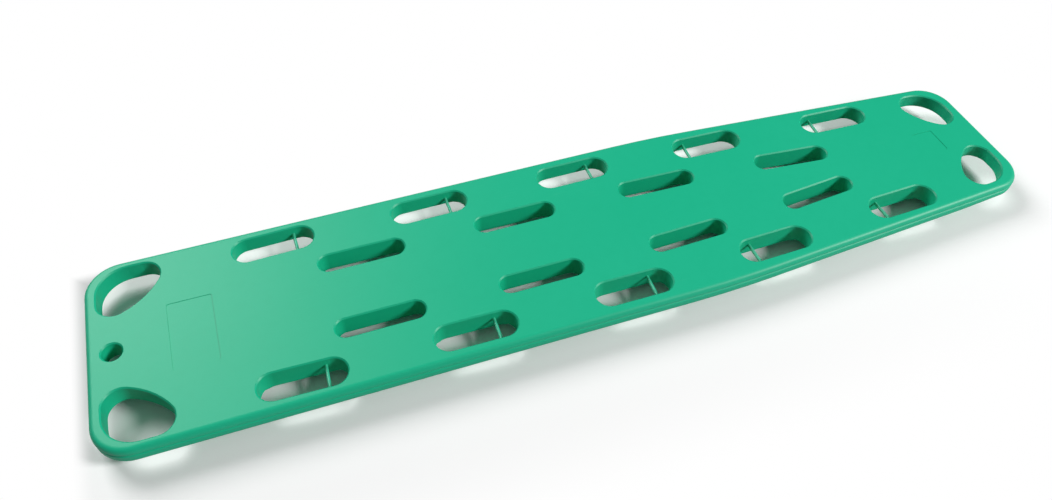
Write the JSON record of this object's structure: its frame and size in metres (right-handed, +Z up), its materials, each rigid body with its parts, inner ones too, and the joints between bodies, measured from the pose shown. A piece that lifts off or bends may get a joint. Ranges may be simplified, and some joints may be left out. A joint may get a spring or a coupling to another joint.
{
  "type": "spine board",
  "caption": "Rigid moulded stretcher board that tapers to the foot end, with hand holes and pinned strap points along both sides.",
  "frame": {"origin": "middle of the board's box, on the floor under its feet", "axes": "+X along the board towards the foot end, +Y towards the left side of a person lying face up with the head at -X, +Z up out of the deck"},
  "size_m": [1.83, 0.4056, 0.06],
  "materials": {
    "skin": "fine-grained moulded polyethylene",
    "pin": "moulded, slightly polished by clips",
    "foam": "closed-cell polyurethane foam",
    "tube": "drawn glass fibre and resin",
    "tube_plug": "moulded",
    "plug": "moulded"
  },
  "bodies": {
    "root": {"board_skin": "skin", "foam_core": "foam", "strap_pin_left_1": "pin", "strap_pin_left_2": "pin", "strap_pin_left_3": "pin", "strap_pin_left_4": "pin", "strap_pin_left_5": "pin", "strap_pin_right_1": "pin", "strap_pin_right_2": "pin", "strap_pin_right_3": "pin", "strap_pin_right_4": "pin", "strap_pin_right_5": "pin", "stiffening_tube_left": "tube", "stiffening_tube_right": "tube", "tube_plug_left_head": "tube_plug", "tube_plug_left_foot": "tube_plug", "tube_plug_right_head": "tube_plug", "tube_plug_right_foot": "tube_plug", "vent_plug": "plug", "fill_plug": "plug"}
  },
  "joints": []
}
